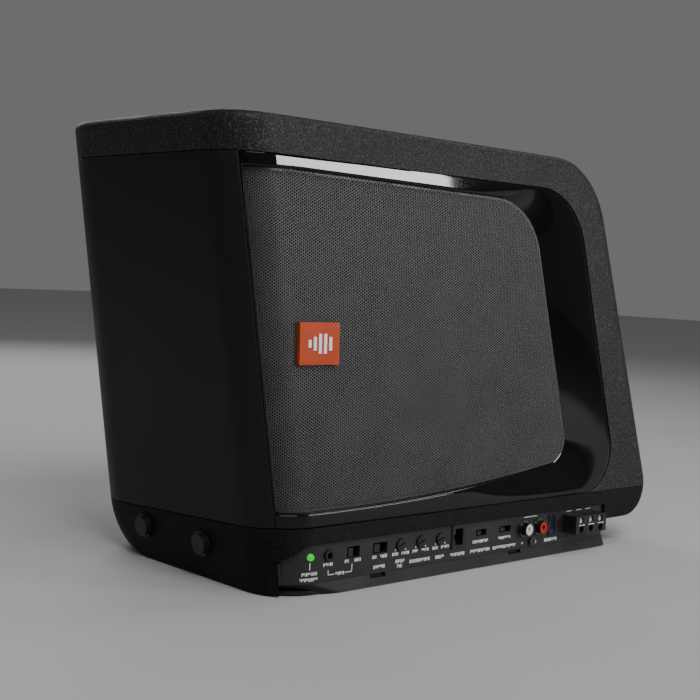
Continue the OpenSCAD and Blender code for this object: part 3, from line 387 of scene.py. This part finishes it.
# The pieces' finishes. Most are named after the slot of the CAD pieces that they are on.
FINISHES = {
    "textured_plastic": dict(colour=(0.006, 0.006, 0.0063), roughness=0.5, grain=0.25,
                             grain_size=0.8, pebbled=True, painted_glint=6.0, specular=0.3),
    # The same textured plastic as the wrap, darker and duller, for the base tray: painted shade
    # along the bottom of the cabinet
    "dark_textured": dict(colour=(0.003, 0.003, 0.0032), roughness=0.55, grain=0.2,
                          grain_size=0.8, pebbled=True, painted_glint=2.5, specular=0.15),
    "smooth_plastic": dict(colour=(0.006, 0.006, 0.0063), roughness=0.45, grain=0.02,
                           grain_size=0.5, tone=0.12, tone_size=60, specular=0.25),
    "gloss_black": dict(colour=(0.002, 0.002, 0.002), roughness=0.05, coat=0.15, specular=0.25,
                        tone=0.2, tone_size=80, rough_vary=0.02),
    "grille_paint": dict(colour=(0.055, 0.055, 0.056), roughness=0.42, metallic=0.3, tone=0.15,
                         grain=0.015, grain_size=0.2),
    "badge_orange": dict(colour=(0.46, 0.05, 0.006), roughness=0.35, coat=0.08, specular=0.2,
                         tone=0.08, tone_size=8, rough_vary=0.03),
    "badge_white": dict(colour=(0.85, 0.84, 0.81), roughness=0.35, tone=0.03),
    "panel_paint": dict(colour=(0.02, 0.02, 0.0206), roughness=0.45, metallic=0.1, grain=0.02,
                        grain_size=0.35, tone=0.15),
    "chassis_paint": dict(colour=(0.009, 0.009, 0.0093), roughness=0.55, specular=0.25,
                          grain=0.02, grain_size=0.4, tone=0.15),
    "black_plastic": dict(colour=(0.012, 0.012, 0.0125), roughness=0.38, grain=0.02,
                          grain_size=0.4, tone=0.2, tone_size=6),
    # Near black on the baffle behind the grille: partly its black spray, partly painted shade for
    # the dark seen through the holes
    "dark_recess": dict(colour=(0.003, 0.003, 0.003), roughness=0.8, tone=0.2),
    "led_green": dict(colour=(0.0, 0.3, 0.01), roughness=0.3, specular=0.2, tone=0.2,
                      tone_size=1.5, glow=(0.0, 0.9, 0.02)),
    "dark_nickel": dict(colour=(0.12, 0.12, 0.12), roughness=0.3, metallic=1.0, tone=0.08,
                        tone_size=3, rough_vary=0.05),
    "bright_nickel": dict(colour=(0.8, 0.79, 0.76), roughness=0.4, metallic=0.5, tone=0.06,
                          tone_size=3, rough_vary=0.05),
    "white_plastic": dict(colour=(0.82, 0.81, 0.78), roughness=0.35, tone=0.04, tone_size=3),
    "red_plastic": dict(colour=(0.6, 0.012, 0.008), roughness=0.35, tone=0.08, tone_size=3),
    "fuse_blue": dict(colour=(0.004, 0.005, 0.022), roughness=0.3, coat=0.3, tone=0.1,
                      tone_size=3),
    "rubber_black": dict(colour=(0.012, 0.012, 0.012), roughness=0.7, grain=0.03,
                         grain_size=0.5, tone=0.2),
    "board_green": dict(colour=(0.01, 0.09, 0.03), roughness=0.35, tone=0.15, tone_size=7),
    "component_blue": dict(colour=(0.015, 0.02, 0.1), roughness=0.35, tone=0.1),
    "copper": dict(colour=(0.55, 0.2, 0.07), roughness=0.3, metallic=0.9, tone=0.12,
                   tone_size=2, grain=0.1, grain_size=1.2),
    "bare_aluminium": dict(colour=(0.7, 0.7, 0.72), roughness=0.35, metallic=1.0, tone=0.08,
                           tone_size=12, grain=0.01, grain_size=0.3),
    "fibreboard": dict(colour=(0.3, 0.19, 0.1), roughness=0.75, tone=0.2, tone_size=3,
                       grain=0.05, grain_size=0.7),
    "steel": dict(colour=(0.5, 0.5, 0.52), roughness=0.33, metallic=1.0, tone=0.08,
                  tone_size=5),
    "ferrite": dict(colour=(0.03, 0.03, 0.033), roughness=0.5, tone=0.15, grain=0.02),
    "cone_fibre": dict(colour=(0.02, 0.02, 0.022), roughness=0.75, tone=0.3, tone_size=4,
                       grain=0.1, grain_size=1.0),
    "spider_cloth": dict(colour=(0.45, 0.27, 0.07), roughness=0.8, tone=0.2, tone_size=3,
                         grain=0.1, grain_size=0.8),
    "felt": dict(colour=(0.5, 0.5, 0.47), roughness=0.95, tone=0.2, tone_size=8, grain=0.4,
                 grain_size=3),
    "brass": dict(colour=(0.62, 0.42, 0.14), roughness=0.3, metallic=1.0, tone=0.08,
                  tone_size=3),
    "lead_red": dict(colour=(0.4, 0.012, 0.01), roughness=0.45, tone=0.1),
}
made = {}


def finish(name):
    if name not in made:
        made[name] = material(name, **FINISHES[name])
    return made[name]


def dress(obj, name):
    obj.data.materials.clear()
    obj.data.materials.append(finish(name))
    return obj


# ---- Camera and light
def camera():
    """At the side of the cabinet, a little above its middle, looking at the front left corner."""
    data = bpy.data.cameras.new("camera")
    data.sensor_width = 36
    data.lens = 65.98
    obj = bpy.data.objects.new("camera", data)
    bpy.context.collection.objects.link(obj)
    tilt, lean, heading = 86.6333, -2.7744, -42.6353
    obj.location = Vector((-565.40, -586.26, 170.42)) * MM
    obj.rotation_euler = [math.radians(angle) for angle in (tilt, lean, heading)]
    bpy.context.scene.camera = obj


def softbox(name, place, aim, size, power):
    data = bpy.data.lights.new(name, "AREA")
    data.shape = "RECTANGLE"
    data.size, data.size_y = size
    data.energy = power
    obj = bpy.data.objects.new(name, data)
    bpy.context.collection.objects.link(obj)
    obj.location = place
    obj.rotation_euler = (Vector(aim) - Vector(place)).to_track_quat("-Z", "Y").to_euler()


def studio():
    softbox("key", (-0.35, -1.1, 1.25), (-0.1, -0.05, 0.2), (0.9, 0.7), 15)
    softbox("fill", (-1.5, -0.2, 0.8), (0, 0, 0.12), (0.8, 0.8), 1)
    softbox("back", (0.5, 1.5, 0.9), (0, 0.05, 0.1), (1.2, 0.6), 8)
    # Reflected by the upper edges
    softbox("edge", (0.8, -0.16, 1.1), (0.05, -0.08, 0.23), (0.3, 0.3), 2)
    # Reflected by the flat strip over the grille
    softbox("card", (0.72, -1.07, 0.40), (-0.1, -0.08, 0.226), (0.44, 0.14), 6)
    world = bpy.data.worlds.new("studio")
    world.use_nodes = True
    background = world.node_tree.nodes["Background"]
    background.inputs["Color"].default_value = (0.75, 0.77, 0.8, 1)
    background.inputs["Strength"].default_value = 0.2
    bpy.context.scene.world = world
    floor = bpy.data.meshes.new("floor")
    far = 6
    floor.from_pydata([(-far, -far, 0), (far, -far, 0), (far, far, 0), (-far, far, 0)], [],
                      [(0, 1, 2, 3)])
    obj = link("floor", floor)
    obj.data.materials.append(material("floor", (0.5, 0.5, 0.5), 0.7, tone=0.03, tone_size=400))


# ---- Shells
TOP_ARC = [HEIGHT - TOP_EDGE_R * (1 - math.sin(math.radians(a))) for a in spread(0, 90, 8)]
HEEL_LEVELS = [HEEL_Z - HEEL_R * math.cos(math.radians(a)) for a in spread(0, 108, 14)]


def wrap_shell():
    """Outer shell: a band right round the top, and the right side down to the base."""
    side_low, bezel_low = SIDE_TOP_Z + SEAM, BEZEL_TOP_Z + SEAM
    end = right_end(BEZEL_RIGHT_U + SEAM * math.hypot(1, BEZEL_LEAN), BEZEL_LEAN,
                    BASE_TOP_Z + SEAM, bezel_low, BEZEL_TOP_R + SEAM, BEZEL_BOTTOM_R + SEAM, 18, 22)
    turn = front_share(end[0][0], bezel_low)
    strip = 12
    front = spread(0.5, 1, 12) + spread(1, turn, 30)[1:] + spread(turn, 2, strip)[1:]
    right = spread(2, 3, 8) + spread(3, 4, 24)[1:] + spread(4, 5, 12)[1:]
    rest = spread(5, 6, 30) + spread(6, 7, 16)[1:] + spread(7, 8, 12)[1:] + spread(8, 8.5, 12)[1:]
    band = front + right[1:] + rest[1:]
    levels = spread(side_low, TOP_ARC[0], 5)[:-1] + TOP_ARC
    skin = Patches()
    skin.add([[outline_point(s, z) for s in band] for z in levels])
    skin.ring_cap([outline_point(s, HEIGHT) for s in band[:-1]])
    skin.add([[outline_point(s, z) for s in front] for z in (bezel_low, side_low)])
    skin.add([[outline_point(s, h) for s in spread(front_share(u, h), 2, strip)]
              for u, h in end[::-1]])
    heights = [h for u, h in end[::-1]] + [side_low]
    skin.add([[outline_point(s, h) for s in right] for h in heights])
    obj = skin.shell("wrap", SKIN, 0.5)
    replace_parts(dress(obj, "textured_plastic"), "wrap_shell")


SEAM_FALL, SEAM_FALL_FROM_Y = 0.0535, -80
SEAM_MIDDLE_Z = 33


def seam_z(y):
    """Height of the base's top under the side panel, which falls towards the back."""
    return BASE_TOP_Z - SEAM_FALL * (y - SEAM_FALL_FROM_Y)


def side_panel():
    """Left side, from the crease at the front left corner round to the back."""
    around = spread(6, 7, 24) + spread(7, 8, 20)[1:] + spread(8, 8.5, 16)[1:]
    skin = Patches()
    rows = []
    for t in spread(0, 1, 28):
        row = []
        for s in around:
            low = seam_z(outline_point(s, SEAM_MIDDLE_Z)[1]) + SEAM
            row.append(outline_point(s, low + (SIDE_TOP_Z - low) * t))
        rows.append(row)
    skin.add(rows)
    obj = skin.shell("side", SKIN, 0.6)
    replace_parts(dress(obj, "smooth_plastic"), "side_panel")


def cabinet_solid(name, d, levels, right=None):
    around = [s for k, n in enumerate((20, 12, 8, 12, 10, 12, 16, 10))
              for s in spread(k, k + 1, n)[:-1]]
    return lofted(name, [[outline_point(s, z, d, right) for s in around] for z in levels])


def prism_y(name, outline, y0, y1):
    """A prism of an [x, z] outline between two depths."""
    return lofted(name, [[(x, y, z) for x, z in outline] for y in (y1, y0)])


WINDOW_LEFT_X, WINDOW_LEFT_Z, WINDOW_SLOPE_X = -140.1, 19, -126.6
WINDOW_RIGHT_X, WINDOW_TOP_Z = 131.4, 27.5
WINDOW_Y = (-130, -60)


def base_housing():
    """Tray under the cabinet: the full outline above, and a narrower foot on the floor."""
    upper = [z for z in HEEL_LEVELS if z < BASE_TOP_Z - 0.5] + [BASE_TOP_Z]
    lower = spread(BODY_BOTTOM_Z, HEEL_FLOOR, 8) + [HEEL_FLOOR + 2]
    base = cabinet_solid("base", 0, upper)
    foot = cabinet_solid("foot_part", 0, lower, FOOT_SIDE_X)
    cut(base, foot, "UNION")
    inner_floor = HEEL_FLOOR + SKIN
    inner_levels = ([inner_floor] + [z for z in upper if z > inner_floor + 0.5]
                    + [BASE_TOP_Z + 2])
    cut(base, cabinet_solid("hollow", SKIN, inner_levels))
    foot_levels = spread(BODY_BOTTOM_Z - 0.5, inner_floor + 1, 8)
    cut(base, cabinet_solid("foot_hollow", SKIN, foot_levels, FOOT_SIDE_X - SKIN))
    cut(base, left_of_crease("lowered", BASE_TOP_Z + 5, seam_z))
    # Window for the control panel, open to the floor and past the left side
    beyond_x, beyond_z = -200, -2
    window = prism_y("window", [(WINDOW_SLOPE_X, WINDOW_TOP_Z), (WINDOW_RIGHT_X, WINDOW_TOP_Z),
                                (WINDOW_RIGHT_X, beyond_z), (beyond_x, beyond_z),
                                (beyond_x, WINDOW_LEFT_Z), (WINDOW_LEFT_X, WINDOW_LEFT_Z)],
                     *WINDOW_Y)
    cut(window, left_of_crease("kept_side", 60, lambda y: -5, 1))
    cut(base, window)
    bevel(base, 0.35, 2, 50)
    smooth(base)
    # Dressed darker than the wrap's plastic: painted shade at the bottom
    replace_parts(dress(base, "dark_textured"), "base_housing")


def left_of_crease(name, top, bottom, gap=0):
    """Everything to the left of the front left crease, above the height bottom(y)."""
    def plan(z):
        cx, cy = left_x(z) + FRONT_LEFT_R - gap, front_y(z) + FRONT_LEFT_R + gap
        bx = left_x(z) + BACK_LEFT_R - gap
        beyond_x, beyond_y, aside = cx - 190, 200, 90
        return [(cx, cy), (bx, cy), (bx, beyond_y), (beyond_x, beyond_y), (beyond_x, cy - aside),
                (cx - aside, cy - aside)]

    low = [(x, y, bottom(y)) for x, y in plan(bottom(SEAM_FALL_FROM_Y))]
    return lofted(name, [low, [(x, y, top) for x, y in plan(top)]])


# ---- Bezel and grille
def front_outline(end, gap, top, bottom, corner, flat):
    """[u, h] points: the top edge to the right, the right end, and the bottom edge back."""
    def line(h, stop):
        start, c = crease_u(h) + gap, corner_x(h)
        return spread(start, c, corner) + spread(c, stop, flat)[1:-1]

    return ([(u, top) for u in line(top, end[0][0])] + end
            + [(u, bottom) for u in line(bottom, end[-1][0])[::-1]])


TURNS, STRAIGHT, CORNER, FLAT = 22, 24, 18, 40
bezel_outline = front_outline(
    right_end(BEZEL_RIGHT_U, BEZEL_LEAN, BEZEL_BOTTOM_Z, BEZEL_TOP_Z, BEZEL_TOP_R, BEZEL_BOTTOM_R,
              TURNS, STRAIGHT), 0.3, BEZEL_TOP_Z, BEZEL_BOTTOM_Z, CORNER, FLAT)
grille_outline = [(u, grille_z(u, h)) for u, h in front_outline(
    right_end(GRILLE_RIGHT_U, GRILLE_LEAN, GRILLE_BOTTOM_H, GRILLE_TOP_H, GRILLE_TOP_R,
              GRILLE_BOTTOM_R, TURNS, STRAIGHT), 0.9, GRILLE_TOP_H, GRILLE_BOTTOM_H, CORNER, FLAT)]


def between(f, extra=0.0):
    """The outline a share f of the way from the bezel's edge to the grille's, plus extra mm."""
    points = []
    for (u0, h0), (u1, h1) in zip(bezel_outline, grille_outline):
        w = math.hypot(u1 - u0, h1 - h0)
        t = f + min(extra / w, 0.3)
        points.append((u0 + (u1 - u0) * t, h0 + (h1 - h0) * t))
    return points


def on_front(outline, d):
    return [front_point(u, h, d) for u, h in outline]


def carried_back(outline):
    """The outline as far back as the bezel's walls reach: the baffle on the flat, and less
    at the crease."""
    least = GRILLE_DEPTH + 3
    loop = []
    for u, h in outline:
        c, l = corner_x(h), crease_u(h)
        f = min(max((u - l) / (c - l), 0), 1)
        loop.append(front_point(u, h, least + (BAFFLE_Y - front_y(h) - least) * f * f))
    return loop


# How far the flat strip lies back from the front's surface
STRIP_D = 0.2
# Where the strips over and under the grille turn into the scoop
SCOOP_ABOVE, SCOOP_BELOW = (10, 100), (0, 110)
# The flat strip's inner lip: share of the width, and depth
LIP = ((0.82, 0.21), (0.87, 0.25), (0.91, 0.4), (0.945, 0.75), (0.97, 1.3), (0.987, 2.4))
# Thickness of the walls behind it
WALL = 2.2


def scoop(f):
    return STRIP_D + (GRILLE_DEPTH - STRIP_D) * (1 - math.cos(math.pi / 2 * f))


def ease(a, b, v):
    t = min(max((v - a) / (b - a), 0), 1)
    return t * t * (3 - 2 * t)


def scooped_share():
    """For each point of the outline, how far its profile goes from a flat strip to a scoop."""
    top, right = CORNER + FLAT, 2 * TURNS + STRAIGHT + 1
    below = top + right
    return [ease(*SCOOP_ABOVE, u) if i < top else 1 if i < below else ease(*SCOOP_BELOW, u)
            for i, (u, h) in enumerate(bezel_outline)]


def front_bezel():
    """Gloss frame: a flat strip over and under the grille, and a scoop on its right."""
    rolled = [on_front(between(0, extra), d)
              for extra, d in ((0, 0.9), (0.12, 0.42), (0.45, 0.22))]
    shares = scooped_share()
    dished = []
    strip = [(f, STRIP_D) for f in (0.08, 0.16, 0.25, 0.35, 0.45, 0.55, 0.65, 0.74)]
    for f, flat in (*strip, *LIP):
        dished.append([front_point(u, h, flat + (scoop(f) - flat) * share)
                       for (u, h), share in zip(between(f), shares)])
    back = [on_front(between(1), 4.35), carried_back(between(1)), carried_back(between(1, -WALL)),
            on_front(between(1, -WALL), 6.2), on_front(between(0, WALL), 2.8),
            carried_back(between(0, WALL)), carried_back(between(0))]
    obj = lofted("bezel", rolled + dished + back, closed_loop=True)
    smooth(obj, 50)
    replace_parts(dress(obj, "gloss_black"), "front_bezel")


PITCH = 1.6
HOLE_R = 0.5
# Least distance from the edge to a hole's centre
HOLE_MARGIN = 1.0
GRILLE_T = 0.8
GRILLE_PIECES = 5


def lattice():
    """Centres of the grille's holes as [u, z], on a hexagonal lattice inside the outline."""
    outline = np.array(grille_outline)
    step = PITCH * math.sqrt(3) / 2
    low, high = outline.min(0), outline.max(0)
    columns = np.arange(math.floor(low[0] / step), math.ceil(high[0] / step) + 1)
    rows = np.arange(math.floor(low[1] / PITCH), math.ceil(high[1] / PITCH) + 1)
    c, r = np.meshgrid(columns, rows, indexing="ij")
    centres = np.stack([c * step, (r + 0.5 * (c % 2)) * PITCH], -1).reshape(-1, 2)
    a, b = outline, np.roll(outline, -1, 0)
    inside = np.zeros(len(centres), bool)
    nearest = np.full(len(centres), np.inf)
    for (u0, z0), (u1, z1) in zip(a, b):
        u, z = centres[:, 0], centres[:, 1]
        crosses = (z0 > z) != (z1 > z)
        if z1 != z0:
            inside ^= crosses & (u < (u1 - u0) * (z - z0) / (z1 - z0) + u0)
        length = max((u1 - u0) ** 2 + (z1 - z0) ** 2, 1e-9)
        t = np.clip(((u - u0) * (u1 - u0) + (z - z0) * (z1 - z0)) / length, 0, 1)
        nearest = np.minimum(nearest, np.hypot(u - u0 - t * (u1 - u0), z - z0 - t * (z1 - z0)))
    return centres[inside & (nearest > HOLE_MARGIN)]


def front_points(uz, d):
    """front_point for an array of [u, z]."""
    u, z = uz[:, 0], uz[:, 1]
    c, y = corner_x(z), FRONT_FLOOR_Y + FRONT_LEAN * z
    a = np.maximum((c - u) / FRONT_LEFT_R, 0)
    r = FRONT_LEFT_R - d
    x = np.where(u >= c, u, c - r * np.sin(a))
    return np.stack([x, np.where(u >= c, y + d, y + FRONT_LEFT_R - r * np.cos(a)), z], -1)


def inset(outline, width):
    """A clockwise [u, z] outline moved inwards."""
    moved = []
    for i, (u, z) in enumerate(outline):
        (u0, z0), (u1, z1) = outline[i - 1], outline[(i + 1) % len(outline)]
        length = math.hypot(u1 - u0, z1 - z0)
        moved.append((u + (z1 - z0) / length * width, z - (u1 - u0) / length * width))
    return moved


def cell_keys(centres):
    """One whole number for each cell, the same however its place was worked out."""
    step, row = 0.2, 100000
    rounded = np.round(centres / step).astype(int)
    return rounded[..., 0] * row + rounded[..., 1]


def perforated(name, centres, whole):
    """Hexagonal cells, each with a hole, with a side wall wherever the whole lattice ends."""
    angles = np.radians(np.arange(6) * 60)
    turn = np.stack([np.cos(angles), np.sin(angles)], -1)
    corners = centres[:, None] + turn * PITCH / math.sqrt(3)
    holes = centres[:, None] + turn * HOLE_R
    same_place = 0.05
    keys = np.round(corners.reshape(-1, 2) / same_place).astype(int)
    first, index = np.unique(keys, axis=0, return_index=True, return_inverse=True)[1:]
    index = index.reshape(-1, 6)
    flat = np.concatenate([corners.reshape(-1, 2)[first], holes.reshape(-1, 2)])
    n = len(flat)
    points = np.concatenate([front_points(flat, d)
                             for d in (GRILLE_FRONT_D, GRILLE_FRONT_D + GRILLE_T)])
    ring = len(first) + np.arange(len(centres) * 6).reshape(-1, 6)
    nxt = np.roll(np.arange(6), -1)
    a, b, c, d = index, index[:, nxt], ring[:, nxt], ring
    front = np.stack([a, b, c, d], -1).reshape(-1, 4)
    back = np.stack([a, d, c, b], -1).reshape(-1, 4) + n
    walls = np.stack([d, c, c + n, d + n], -1).reshape(-1, 4)
    towards = np.stack([np.cos(angles + math.pi / 6), np.sin(angles + math.pi / 6)], -1)
    next_cells = cell_keys(centres[:, None] + PITCH * towards)
    rim = np.stack([a, b], -1)[~np.isin(next_cells, cell_keys(whole))]
    sides = np.stack([rim[:, 1], rim[:, 0], rim[:, 0] + n, rim[:, 1] + n], -1)
    faces = np.concatenate([front, back, walls, sides])
    mesh = bpy.data.meshes.new(name)
    mesh.vertices.add(len(points))
    mesh.vertices.foreach_set("co", (points * MM).astype(np.float32).ravel())
    mesh.loops.add(len(faces) * 4)
    mesh.loops.foreach_set("vertex_index", faces.astype(np.int32).ravel())
    mesh.polygons.add(len(faces))
    mesh.polygons.foreach_set("loop_start", (np.arange(len(faces)) * 4).astype(np.int32))
    mesh.update(calc_edges=True)
    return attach(link(name, mesh), CABINET)


def grille():
    """Perforated sheet in strips side by side, on a plain rim that closes its edge."""
    centres = lattice()
    across = np.round(centres[:, 0], 3)
    borders = np.quantile(across, spread(0, 1, GRILLE_PIECES))
    borders[0] -= 1
    for k in range(GRILLE_PIECES):
        mine = (across > borders[k]) & (across <= borders[k + 1])
        obj = dress(perforated(f"grille_strip_{k + 1}", centres[mine], centres), "grille_paint")
        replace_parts(obj, "grille")
    rim_out, rim_in = inset(grille_outline, 0.1), inset(grille_outline, 1.7)
    sunk = 0.06
    d0, d1 = GRILLE_FRONT_D + sunk, GRILLE_FRONT_D + GRILLE_T - sunk
    rim = lofted("grille_rim", [on_front(rim_out, d0), on_front(rim_in, d0), on_front(rim_in, d1),
                                on_front(rim_out, d1)], closed_loop=True)
    smooth(rim)
    dress(rim, "grille_paint")


# ---- Finish on the CAD pieces that stay as they are
NODE_FINISH = {row["node"]: row["material_slot"] for row in frame["record"]["subparts"]}
# Darker or brighter than the rest of their slot. The baffle and woofer basket are black paint and
# painted shade in one, and the woofer screws are darkened only as painted shade, for the dark seen
# through the grille's holes
NODE_FINISH.update(phono_block="dark_nickel", ground_post="dark_nickel",
                   front_baffle="dark_recess", woofer_basket="chassis_paint",
                   woofer_screws="black_plastic", terminal_screw_ground="bright_nickel",
                   terminal_screw_remote="bright_nickel", terminal_screw_power="bright_nickel")

# Softened edges
NODE_BEVEL = {"terminal_block": 0.35, "link_switch": 0.25, "phase_switch": 0.25,
              "level_switch": 0.2, "auto_on_switch": 0.2, "bass_eq_knob": 0.3,
              "crossover_knob": 0.3, "gain_knob": 0.3, "remote_port": 0.2, "fuse_holder": 0.2,
              "mini_fuse": 0.2, "phono_block": 0.15, "phono_ring_left": 0.2,
              "phono_ring_right": 0.2, "ground_post": 0.25,
              "audio_jack": 0.3, "terminal_screw_ground": 0.2, "terminal_screw_remote": 0.2,
              "terminal_screw_power": 0.2, "thumb_screw_front": 0.4, "thumb_screw_rear": 0.4,
              "rear_screws": 0.2, "control_panel": 0.15, "amp_chassis": 0.2, "rear_cover": 0.4,
              "badge_plate": 0.5, "badge_mark": 0.15, "rubber_feet": 0.2, "capacitors": 0.4,
              "heat_sink": 0.2}


def dress_cad():
    for name, obj in frame["nodes"].items():
        obj.data.materials.clear()
        obj.data.materials.append(finish(NODE_FINISH[name]))
        if name in NODE_BEVEL:
            bevel(obj, NODE_BEVEL[name], 3, 30)
            smooth(obj)


# ---- Generic white markings beside the controls
PANEL_Y, PANEL_TURN_X, PANEL_R = -86.1, -119.6, 25.7


def panel_point(x, z, out):
    """A point on the control panel. Left of its turn, x is measured round the corner."""
    if x >= PANEL_TURN_X:
        return (x, PANEL_Y - out, z)
    a, r = (PANEL_TURN_X - x) / PANEL_R, PANEL_R + out
    return (PANEL_TURN_X - r * math.sin(a), PANEL_Y + PANEL_R - r * math.cos(a), z)


def marks():
    """Rows of small blocks in place of words, with dots, ticks and brackets."""
    points, faces = [], []
    chance = random.Random(7)

    def bar(x0, x1, z0, z1, y=None):
        start = len(points)
        for out in (0.12, -0.1):
            for x, z in ((x0, z0), (x1, z0), (x1, z1), (x0, z1)):
                points.append(panel_point(x, z, out) if y is None else (x, y - out, z))
        faces.extend([tuple(start + k for k in face) for face in (
            (0, 1, 2, 3), (7, 6, 5, 4), (0, 4, 5, 1), (1, 5, 6, 2), (2, 6, 7, 3), (3, 7, 4, 0))])

    def word(x, z, width, tall=1.8):
        at, end = x - width / 2, x + width / 2
        while at < end - 0.4:
            block = min(chance.choice((0.35, 0.5, 0.7)), end - at)
            low = chance.choice((0, 0, 0.35))
            bar(at, at + block, z - tall / 2 + low * tall, z + tall / 2)
            at += block + 0.45

    # Lamp, jack and link switch, joined by a bracket
    bar(-123.6, -123.15, 14, 18)
    word(-123.2, 11.9, 9.6)
    word(-123.2, 8.9, 11.4)
    word(-110.4, 15.7, 7.4)
    word(-97.2, 15.9, 2.6)
    word(-88.8, 15.9, 5.2)
    bar(-110.6, -110.2, 9.8, 12.6)
    bar(-110.6, -106, 9.8, 10.2)
    word(-101.9, 10, 6.4)
    bar(-98, -93, 9.8, 10.2)
    bar(-93.4, -93, 9.8, 14.2)
    # Phase switch
    word(-76.6, 15.7, 3)
    word(-69.4, 15.7, 5)
    word(-72.3, 10, 9.2, 2)
    # Level controls: a dot and a short word at each end of the travel, a longer word below
    for x, rows in ((-56.3, ((11.3, 7.2), (8.5, 4.2))), (-40.1, ((10, 17),)), (-23.9, ((10, 7),))):
        for side in (-1, 1):
            bar(x + side * 4 - 0.35, x + side * 4 + 0.35, 17.4, 18.1)
            word(x + side * 4.1, 15.6, 5.4 + 0.8 * side)
        for z, width in rows:
            word(x, z, width, 2)
    # Remote socket, level and turn-on switches, phono pair and fuse
    word(-8.5, 9.8, 12.2, 2)
    word(11.4, 15.4, 14, 1.9)
    word(11.6, 9.9, 18, 2)
    word(33, 15.4, 11)
    word(33.4, 9.8, 21, 2)
    word(50.5, 9.6, 1.4)
    word(63.9, 9.6, 1.4)
    word(78.6, 9.5, 13, 2)
    bar(50.8, 63.6, 25.7, 26.2)
    # Terminals: a line under each screw, and one above the block
    for i in (-1, 0, 1):
        bar(105.8 + i * 9.9 - 3, 105.8 + i * 9.9 + 3, 18.3, 18.75, PANEL_Y - 10.7)
        bar(105.8 + i * 9.9 - 2.6, 105.8 + i * 9.9 + 2.6, 25.7, 26.2)
    obj = dress(mesh_object("panel_marks", points, faces), "badge_white")
    smooth(obj, 20)


camera()
studio()
dress_cad()
wrap_shell()
side_panel()
base_housing()
front_bezel()
grille()
marks()
